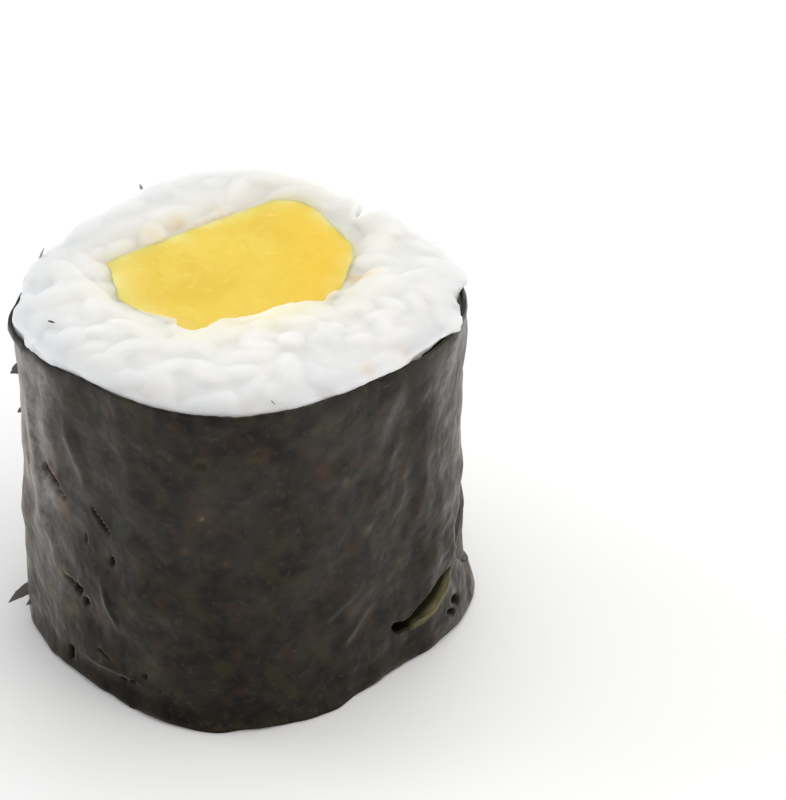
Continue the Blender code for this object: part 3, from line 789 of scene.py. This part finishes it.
def pickleOutline(count):
    # straight sides joined by arcs, walked at an even pace: x and y of count points
    corners = np.array([c[:2] for c in pickle["corners"]], float)
    radii = np.array([c[2] for c in pickle["corners"]])
    before = unit(np.roll(corners, 1, axis=0) - corners)
    after = unit(np.roll(corners, -1, axis=0) - corners)
    half = 0.5 * np.arccos(np.sum(before * after, axis=1))
    centres = corners + unit(before + after) * (radii / np.sin(half))[:, None]
    start = corners + before * (radii / np.tan(half))[:, None] - centres
    first = np.arctan2(start[:, 1], start[:, 0])
    turn = first[:, None] + (np.pi - 2 * half)[:, None] * np.linspace(0, 1, 12)
    arcs = centres[:, None] + radii[:, None, None] * np.stack([np.cos(turn), np.sin(turn)], axis=-1)
    path = np.vstack([arcs.reshape(-1, 2), arcs[0, :1]])
    run = np.concatenate([[0], np.cumsum(np.linalg.norm(np.diff(path, axis=0), axis=1))])
    at = np.linspace(0, run[-1], count, endpoint=False)
    return np.stack([np.interp(at, run, path[:, 0]), np.interp(at, run, path[:, 1])], axis=-1)


def pickleTop(y):
    return roll["length"] + pickle["rise"] + pickle["slope"] * y


def pickleGap(x, y):
    # distance from points to the strip's outline, negative inside, and the way straight out from it
    outline = pickleOutline(90)
    edge = np.roll(outline, -1, axis=0) - outline
    point = np.stack([x, y], axis=-1)[..., None, :] - outline
    along = np.clip(np.sum(point * edge, axis=-1) / np.sum(edge * edge, axis=-1), 0, 1)
    away = point - along[..., None] * edge
    far = np.linalg.norm(away, axis=-1)
    nearest = far.argmin(axis=-1)[..., None]
    distance = np.take_along_axis(far, nearest, -1)[..., 0]
    out = np.take_along_axis(away, nearest[..., None], -2)[..., 0, :]
    inside = (edge[:, 0] * point[..., 1] - edge[:, 1] * point[..., 0]).min(axis=-1) > 0
    sign = np.where(inside, -1.0, 1.0)
    return distance * sign, out / np.maximum(distance, 1e-6)[..., None] * sign[..., None]


def makePickle():
    # rings from the middle of the lower face, out and up the wall, to the middle of the upper face
    outline = pickleOutline(pickle["around"])
    middle = outline.mean(axis=0)
    top = roll["length"] + pickle["rise"]
    faceShare = np.linspace(0, 1, pickle["rings"])[1:]
    bend = np.linspace(0, np.pi / 2, 6)[1:-1]
    r = pickle["edgeRound"]
    wall = np.linspace(r, top - r, pickle["wallRows"])
    curve = (r - r * np.sin(bend), wall * 0, r - r * np.cos(bend))
    inset = np.concatenate([faceShare * 0 + r, *curve, faceShare * 0 + r])
    share = np.concatenate([faceShare, bend * 0 + 1, wall * 0 + 1, bend * 0 + 1, faceShare[::-1]])
    z = np.concatenate([faceShare * 0, r - r * np.cos(bend), wall, top - r + r * np.sin(bend), faceShare * 0 + top])
    away = outline - middle
    far = np.linalg.norm(away, axis=1)
    reach = (far[:, None] - inset) * share
    way = away / far[:, None]
    x, y = middle[0] + way[:, :1] * reach, middle[1] + way[:, 1:] * reach
    z = z + 0 * x
    turn = 6.285 / pickle["around"] * np.arange(pickle["around"])[:, None] + 0 * x  # about once round
    wobble = pickle["wobble"] * mottle(9 * np.sin(turn), z * 0.5 + 9, 1.6, 31) * share
    x, y = x + way[:, :1] * wobble, y + way[:, 1:] * wobble
    upper = ease((z - top + 1.0) / 0.8)
    z = z + layered(x, y, pickle["faceRelief"]) * upper + pickle["slope"] * y * z / top
    rings = np.stack([x.T, y.T, z.T], axis=-1)
    points = np.vstack([rings.reshape(-1, 3), [*middle, 0.0], [*middle, top]])
    piece = makePiece("pickleStrip", points, [kind[:, ::-1] for kind in spindleFaces(*rings.shape[:2])])
    # painted highlight: paler on the sides and within about a millimetre of the edges
    thin = np.exp(-far[:, None] * (1 - share) / 0.75) * (0.6 + 0.5 * mottle(x, y, 1.3, 35))
    paint(piece, "edge", np.append(thin.T, [0.0, 0.0]))
    return piece


def pickleFinish():
    finish, colours = newFinish("pickle"), pickle["colours"]
    cloud = finish.noise(0.16, 2.0, 0.5, 0.3)
    vein = finish.noise(0.55, 3.0, 0.55, 0.8, stretch=(1.0, 0.6, 0.25), shift=(4, 4, 4))
    speck = finish.noise(0.9, 2.0, 0.5, 0.4, shift=(9, 2, 5)).between(0.58, 0.76)
    x = finish.node("ShaderNodeSeparateXYZ", {}, {0: finish.place}) / mm
    base = finish.mix(cloud.between(0.35, 0.65), colours["dark"], colours["light"])
    # the edge coat is a painted highlight along the strip's edges
    base = finish.coats(
        base, (vein.between(0.45, 0.7) * 0.45, colours["vein"]), (speck * 0.28, colours["speck"]),
        (x.between(0.0, 6.5) * 0.8, colours["right"]), (x.between(-5.0, -9.5) * 0.5, colours["left"]),
        (finish.masks("edge")[0] * 0.8, colours["edge"]))
    relief = finish.bump(vein * 0.6 + finish.noise(2.2, 3.0) * 0.4, 0.1, 0.5)
    return finish.set(
        colour=base, roughness=0.36 + 0.12 * vein, normal=relief, coat=0.1, coatRoughness=0.25, specular=0.38,
        scatter=0.6, scatterRadius=(1.6, 0.95, 0.12), scatterScale=1.1 * mm, ior=1.4)


pickleMaterial = pickleFinish()
picklePiece = makePickle()
dress(picklePiece, pickleMaterial, "pickle", "pickle")
print("pickle strip:", len(picklePiece.data.polygons), "faces")


rice = {
    "length": 5.4, "width": 2.85, "height": 2.45, "around": 14, "along": 11,
    "pitch": 1.62, "jitter": 0.28, "tilt": 26, "sizes": (0.88, 1.1),
    "layers": ((0, 1, 1.5, 0.35), (1.7, 1.15, 1.1, 1)),  # depth, pitches apart, least way from nori and pickle
    "crown": 1.35, "dropFront": 1.15, "dropBack": 0.05, "edgeWidth": 3.2,
    "besidePickle": (0.05, 0.81),  # height over its cut face, and more in front
    "slopeWidth": 2.7,  # over which it rises to its full height
    "wall": 0.42, "tip": 1.1,  # from the nori's outer face in to the rice; how far it follows the nori's left tip
    "ring": 29, "over": (-0.28, 0.22),  # grains along the rim; how far grains would stand over the cut
    "voxel": 0.15, "smoothing": 5,
    "slab": 2.8,  # height of the modelled ends
    "bareDepth": 0.4, "bareLumps": 0.1,  # how far the bare rice lies below the grains
    "knife": 0.24, "board": 0.06,  # what is left of a grain's height above the cut
    "overhang": (0.42, 0.54),  # over the rim everywhere, and more on the left, right and back
    "overhangLumps": ((0.45, 1.6, 44), (0.3, 0.9, 45)),  # layers of (share, size, seed)
    "notch": (2.3, 47.5, 5), "notchDepth": 1.1,  # a hollow by the rim at the back right, and how far down it goes
    # how much farther out it lies in places
    "fills": ((-0.5, -171, 14), (0.2, -154, 10), (0.34, -26, 30), (-0.15, 5, 50), (-0.75, -3.5, 8)),
    "atRim": 0.27,  # and how much nearer the nori's inner face right below the rim
    # how far the rice lies over the pickle's edge and reaches below its face, and how much farther in these lobes
    "lap": 0.34, "lapBelow": 0.2, "lobe": 1.4,
    "lobes": ((-5.5, -4.2, 1.1), (-1.7, -4.8, 1.2), (3.7, -2.2, 1.5), (6.1, -1.3, 1.1)),
    "peaks": ((8.6, 8.4, 0.9, 0.6), (6.5, 9.6, 0.7, 0.2)),  # places that stand higher: x, y, size, height
    "seed": 5,
    "colours": {
        # glassy is painted shade along the rim
        "dark": (0.715, 0.718, 0.716), "light": (0.775, 0.763, 0.747), "glassy": (0.62, 0.645, 0.67),
        "yellow": (0.95, 0.82, 0.36), "brown": (0.58, 0.43, 0.34), "orange": (0.8, 0.5, 0.2),
    },
}


def riceWall(angle, z):  # follows the nori where its left end turns out
    flick = hump(angle, nori["tipFlick"]) * ease(1 + (z - roll["length"]) / nori["tipFlick"][3])
    return rollRadius(angle, z) - rice["wall"] + rice["tip"] * flick


def riceTop(x, y):
    # a crown that rounds down to the nori, most at the front
    angle = bearing(x, y)
    inward = riceWall(angle, roll["length"]) - np.hypot(x, y)
    fall = (1 - np.clip(inward / rice["edgeWidth"], 0, 1)) ** 2
    front = 0.5 - 0.5 * np.sin(np.radians(angle))
    top = roll["length"] + rice["crown"] - (rice["dropBack"] + (rice["dropFront"] - rice["dropBack"]) * front) * fall
    top = top + sum(height * spot(x, y, *place) for *place, height in rice["peaks"])
    near = pickleTop(y) + rice["besidePickle"][0] + rice["besidePickle"][1] * bell(angle, -75, 115)
    return near + (top - near) * ease(pickleGap(x, y)[0] / rice["slopeWidth"])


def grainShape():
    # a plump spindle, blunt at one end and nicked at the other, with shallow grooves: unit length on each axis
    run = np.linspace(0, np.pi, rice["along"] + 2)[1:-1][:, None]
    turn = wholeTurn(rice["around"])
    x = -0.5 * np.cos(run) + 0 * turn
    girth = 0.5 * np.sin(run) ** 0.78 * (1 + 0.1 * np.cos(run)) * (1 - 0.035 * np.cos(3 * turn + 0.6))
    nick = 0.16 * np.exp(-((x - 0.4) / 0.09) ** 2) * np.clip(np.sin(turn + 0.4), 0, 1)
    y = girth * np.cos(turn)
    z = girth * np.sin(turn) * (1 - nick) + 0.05 * (4 * x * x - 1)
    body = np.stack([x, y, z], axis=-1).reshape(-1, 3)
    return np.vstack([body, [[-0.5, 0, 0], [0.5, 0, 0]]])


def turned(points, yaw, tilt, rollOver):
    # points of every grain turned about X, then Y, then Z; the angles are arrays with one value a grain
    x, y, z = np.moveaxis(points, -1, 0)
    z, y = spin(z, y, rollOver[:, None])
    x, z = spin(x, z, tilt[:, None])
    y, x = spin(y, x, yaw[:, None])
    return np.stack([x, y, z], axis=-1)


def grainSpots(draw, pitch, nearNori, nearPickle):
    # a sunflower spiral over the cut face, jittered, kept off the nori and the pickle
    count = int((1.15 * roll["radius"] / pitch) ** 2 * np.pi)
    i = np.arange(count)
    angle, radius = i * np.pi * (3 - math.sqrt(5)), pitch * np.sqrt((i + 0.5) / np.pi)
    shift = draw.uniform(-1, 1, (2, count)) * rice["jitter"] * pitch
    x, y = radius * np.cos(angle) + shift[0], radius * np.sin(angle) + shift[1]
    room = riceWall(bearing(x, y), roll["length"]) - np.hypot(x, y)
    keep = (room > nearNori) & (pickleGap(x, y)[0] > nearPickle)
    return x[keep], y[keep]


def riceOverhang(angle):
    # how far the rice stands out over the rim: least in front and at the left end, with a notch at the back right
    least, more = rice["overhang"]
    lumps = 1 + layered(angle * roll["perDegree"], 0 * angle, rice["overhangLumps"])
    out = least + more * (1 - bell(angle, -92, 95)) * (1 - 0.85 * bell(angle, 176, 30)) * lumps
    return out + sum(hump(angle, fill) for fill in rice["fills"]) - hump(angle, rice["notch"])


def overPickle(x, y):
    # how far grains may reach over the pickle: in the lobes of its front side alone
    return rice["lap"] + rice["lobe"] * np.maximum.reduce([spot(x, y, *lobe) for lobe in rice["lobes"]])


def squeeze(points, upper):
    # grains give way to the nori, the pickle and the cut face instead of passing through them
    x, y, z = np.moveaxis(points, -1, 0)
    angle, radius = bearing(x, y), np.hypot(x, y)
    limit = riceWall(angle, z)
    if upper:
        over, hollow = z - noriRim(angle), hump(angle, rice["notch"])
        limit = limit + (riceOverhang(angle) + hollow) * ease((over + 0.02) / 0.35)
        limit = limit - hollow * ease((over + rice["notchDepth"]) / 0.3)
    shrink = 1 - 0.97 * np.clip(radius - limit, 0, None) / np.maximum(radius, 1e-6)
    x, y = x * shrink, y * shrink
    gap, way = pickleGap(x, y)
    low = 1 - ease((z - pickleTop(y)) / 0.4) if upper else 1.0
    push = np.clip(0.01 - gap - (1 - low) * overPickle(x, y), 0, 1.6)
    x, y = x + way[..., 0] * push, y + way[..., 1] * push
    if upper:
        top = riceTop(x, y)
        z = np.where(z > top, top + (z - top) * rice["knife"], z)
    else:
        z = np.where(z < 0.12, 0.12 + (z - 0.12) * rice["board"], z)
    return np.stack([x, y, z], axis=-1)


# Grains set one by one along the pickle: (x, y, turn in degrees, height over the others).
grainsBeside = (
    (-8.6, -3.4, -60, 0.05), (-6.5, -5.6, -20, 0.3), (-5.6, -7.4, 15, 0.1), (-3, -8, 8, 0.05),
    (-6.2, -4.4, -40, 0.25),
    (-1, -6.3, 12, 0.35), (0.9, -6.4, 75, 0.05), (3.4, -3.4, 24, 0.4), (5.6, -3.6, -35, 0.3),
    (7.6, -2.2, 50, 0.35), (8.7, 0.6, 70, 0.2), (9, 4.8, 80, 0), (8.5, 8.1, 125, 0.1),
    (-11.2, 0.6, 80, 0),
)


def layGrains(draw, x, y, yaw, tilt, over, upper):
    # grains of drawn sizes whose highest points stand over the cut face by the given heights
    count = len(x)
    size = draw.uniform(*rice["sizes"], (3, count)) * np.array([[rice["length"]], [rice["width"]], [rice["height"]]])
    body = turned(grainShape()[None] * size.T[:, None, :], yaw, np.radians(tilt), draw.uniform(0, 2 * np.pi, count))
    level = riceTop(x, y) + over - body[..., 2].max(axis=1) if upper else -over - body[..., 2].min(axis=1)
    return body + np.stack([x, y, level], axis=-1)[:, None, :]


def grainCloud(draw, upper):
    every = []
    for depth, spacing, nearNori, nearPickle in rice["layers"]:
        x, y = grainSpots(draw, rice["pitch"] * spacing, nearNori, nearPickle)
        count = len(x)
        yaw, tilt = draw.uniform(0, 2 * np.pi, count), draw.normal(0, rice["tilt"], count)
        every.append(layGrains(draw, x, y, yaw, tilt, draw.uniform(*rice["over"], count) - depth, upper))
    count = rice["ring"]
    angle = (np.arange(count) + draw.uniform(-0.3, 0.3, count)) * 360 / count
    spread = 20 + 70 * bell(angle, 15, 65) + 65 * bell(angle, -115, 65)
    yaw = np.radians(draw.uniform(-1, 1, count) * spread)
    half = np.hypot(0.5 * rice["length"] * np.sin(yaw), 0.5 * rice["width"] * np.cos(yaw))
    radius = riceWall(angle, roll["length"]) - half * 0.92 + (riceOverhang(angle) if upper else 0.0)
    x, y, _ = polar(angle, radius, 0.0).T
    over = draw.uniform(-0.15, 0.25, count)
    every.append(layGrains(draw, x, y, yaw + np.radians(angle + 90), draw.normal(0, 12, count), over, upper))
    if upper:
        x, y, turn, over = np.array(grainsBeside).T
        every.append(layGrains(draw, x, y, np.radians(turn), 0 * turn + 6, over, upper))
    return np.concatenate(every)


def collarPoints(low, high):
    # a ring-shaped block between pickle and nori: closed cross-sections; without high, up to below the cut face
    angle = np.linspace(-180, 180, 240, endpoint=False)
    spoke = np.linspace(0, 1, 13)
    outline = pickleOutline(900).T
    hole = np.interp(angle, bearing(*outline), np.hypot(*outline), period=360) - 0.05
    top = roll["length"] if high is None else high
    rim = riceWall(angle, top) - 0.12
    spread = rim + (0.85 * riceOverhang(angle) if high is None else 0.0)
    radius = hole[:, None] + (rim - hole)[:, None] * spoke
    wide = hole[:, None] + (spread - hole)[:, None] * spoke
    lower = polar(angle[:, None] + 0 * radius, radius, low + 0 * radius)
    upper = polar(angle[:, None] + 0 * wide, wide, high if high is not None else 0 * wide)
    if high is None:
        # over the pickle's edge the block reaches inward as far as the lobes do
        wall = lower[:, :1].copy()
        wall[..., 2] = pickleTop(wall[..., 1]) - rice["lapBelow"]
        upper[:, 0, :2] -= polar(angle, 0.75 * overPickle(wall[:, 0, 0], wall[:, 0, 1]), 0.0)[:, :2]
        rimWay = rim + rice["atRim"] - hump(angle, rice["notch"])
        rimRow = polar(angle[:, None], rimWay[:, None], roll["length"] - 0.1)
        x, y = upper[..., 0], upper[..., 1]
        sunk = rice["bareDepth"] - rice["bareLumps"] * mottle(x, y, 2.3, 43)
        sunk = sunk * (1 - 0.75 * np.exp(-(spread[:, None] - wide) / 1.1))
        upper[..., 2] = riceTop(x, y) - sunk * ease(0.15 + pickleGap(x, y)[0] / 1.0)
        return np.concatenate([lower, rimRow, upper[:, ::-1], wall], axis=1)
    return np.concatenate([lower, upper[:, ::-1]], axis=1)


def largestBody(mesh):
    # marks the body with the most vertices: each vertex takes the lowest label near it, until none changes
    a, b = readArray(mesh.edges, "vertices", 2, np.int32).T
    label, old = np.arange(len(mesh.vertices)), np.array([])
    while not np.array_equal(label, old):
        old, low = label.copy(), np.minimum(label[a], label[b])
        np.minimum.at(label, a, low)
        np.minimum.at(label, b, low)
        label = label[label]
    names, counts = np.unique(label, return_counts=True)
    return label == names[counts.argmax()]


def fuse(name, points, faces):
    # closed shapes into one sticky skin by voxels, softened where grains meet; loose scraps are left out
    loose = makePiece(name + "Loose", points, faces)
    remesh = loose.modifiers.new("fuse", "REMESH")
    remesh.mode, remesh.voxel_size = "VOXEL", rice["voxel"] * mm
    soften = loose.modifiers.new("soften", "SMOOTH")
    soften.factor, soften.iterations = 0.5, rice["smoothing"]
    skin = bpy.data.meshes.new_from_object(loose.evaluated_get(bpy.context.evaluated_depsgraph_get()))
    keep = largestBody(skin)
    quads = readArray(skin.loops, "vertex_index", 1, np.int32).reshape(-1, 4)
    quads = quads[keep[quads].all(axis=1)]
    piece = makePiece(name, meshPoints(skin)[keep], [(np.cumsum(keep) - 1)[quads]])
    bpy.data.meshes.remove(loose.data)  # and the loose piece with it
    bpy.data.meshes.remove(skin)
    return piece


# Tinted spots on the rice: (x, y, size, yellow, brown, orange).
riceStains = (
    (7, 1.5, 0.5, 0, 0, 1), (7.6, 1.3, 0.5, 0, 0, 0.9), (8.2, 1, 0.5, 0, 0, 0.6), (8.8, 0.9, 0.5, 0, 0, 0.3),
    (8.2, -9.6, 0.55, 0, 0.8, 0.2), (10.6, -7.5, 0.6, 0, 0.6, 0.2), (-4.5, 7.9, 0.6, 0, 0, 0.45),
    (-6.3, 6.6, 0.7, 0, 0, 0.35), (-2, 9.6, 0.5, 0, 0, 0.35), (-4.6, -12.2, 0.5, 0, 0.35, 0),
    (-2.7, 8.35, 0.24, 0, 1, 0.5), (-2.2, 8.65, 0.24, 0, 1, 0.5), (-1.7, 8.95, 0.26, 0, 1, 0.5),
    (-3.4, 7.95, 0.22, 0, 0.7, 0.5), (-1.1, 9.35, 0.22, 0, 0.6, 0.4),
)


def tintRice(piece):
    # masks: yellow from the pickle, brown from the nori's edge, orange where juice has run; and painted bluish shade
    # along the rim
    x, y, z = meshPoints(piece.data).T
    gap = np.clip(pickleGap(x, y)[0], 0, None)
    angle = bearing(x, y)
    patch = 0.5 + 0.5 * mottle(x + 40, y + 40, 2.2, 41)
    yellow = 0.76 * np.exp(-gap / 1.8) * (0.35 + 0.65 * patch) * (0.55 + 0.45 * bell(angle, -70, 120))
    over = np.where(z > roll["length"] / 2, np.clip(z - pickleTop(y), 0, None), 0)
    yellow = np.maximum(yellow, 0.9 * np.exp(-np.hypot(gap, over) / 0.42))
    near = np.clip(riceWall(angle, z) - np.hypot(x, y), 0, None)
    brown = np.exp(-near / 0.7) * ease((0.5 + 0.5 * mottle(x + 70, y + 70, 1.5, 42)) * 2.2 - 1.4)
    orange = 0.3 * np.exp(-gap / 0.8) * bell(angle, 115, 70)
    masks = np.stack([yellow, brown, orange])
    for a, b, size, *amounts in riceStains:
        masks = np.maximum(masks, np.outer(amounts, spot(x, y, a, b, size) * (z > roll["length"] / 2)))
    paint(piece, "tint", *masks)
    # painted bluish shade along the rim, most on the left and back
    paint(piece, "rim", np.exp(-near / 2.6) * (0.35 + 0.65 * bell(angle, 165, 110)))


def riceFinish():
    finish, colours = newFinish("rice"), rice["colours"]
    yellow, brown, orange = finish.masks("tint")
    # the rim mask is painted bluish shade
    glassy = finish.masks("rim")[0]
    cloud = finish.noise(0.3, 2.0, 0.5, 0.5)
    fine = finish.noise(2.0, 3.0, 0.5)
    base = finish.mix(cloud.between(0.35, 0.65), colours["dark"], colours["light"])
    base = finish.coats(
        base, (glassy * 0.8, colours["glassy"]), (yellow * 0.85, colours["yellow"]),
        (brown * 0.35, colours["brown"]), (orange * 0.8, colours["orange"]))
    return finish.set(
        colour=base, roughness=0.38 + 0.14 * fine, normal=finish.bump(fine, 0.05, 0.5),
        scatter=0.9, scatterRadius=(1.0, 0.93, 0.85), scatterScale=3.0 * mm, ior=1.36, specular=0.3)


def makeRice():
    draw = np.random.default_rng(rice["seed"])
    kinds, perGrain = spindleFaces(rice["along"], rice["around"]), len(grainShape())
    top = roll["length"]
    pieces = []
    for name, low, high in (("riceTop", top - rice["slab"], None), ("riceFoot", rice["bareDepth"], rice["slab"])):
        upper = high is None
        grains, bare = squeeze(grainCloud(draw, upper), upper), collarPoints(low, high)
        faces = repeated(kinds, len(grains), perGrain) + [loopFaces(*bare.shape[:2], True) + grains.size // 3]
        pieces.append(fuse(name, np.vstack([grains.reshape(-1, 3), bare.reshape(-1, 3)]), faces))
        print(name, len(grains), "grains,", len(pieces[-1].data.polygons), "faces")
    bare = collarPoints(rice["slab"] - 0.5, top - rice["slab"] + 0.5)
    return pieces + [makePiece("riceCore", bare, [loopFaces(*bare.shape[:2], True)])]


flakePiece = makeBits("noriFlakes", flakes, flecks)
dress(flakePiece, noriMaterial, "nori")
# the spikes' pale colour is painted sheen
spikeMaterial = newFinish("spike nori painted sheen").set(colour=nori["colours"]["spikes"], roughness=0.6)
dress(makeBits("noriSpikes", spikes, ()), spikeMaterial, "nori")
shredMaterial = newFinish("thin nori").set(colour=nori["colours"]["shreds"], roughness=0.6)
dress(makeBits("noriShreds", shreds, ()), shredMaterial, "nori")
dress(makeTornEdge(), noriMaterial, "nori")
print("nori flakes:", len(flakePiece.data.polygons), "faces")

riceMaterial = riceFinish()
for part in makeRice():
    tintRice(part)
    dress(part, riceMaterial, "rice", "rice")
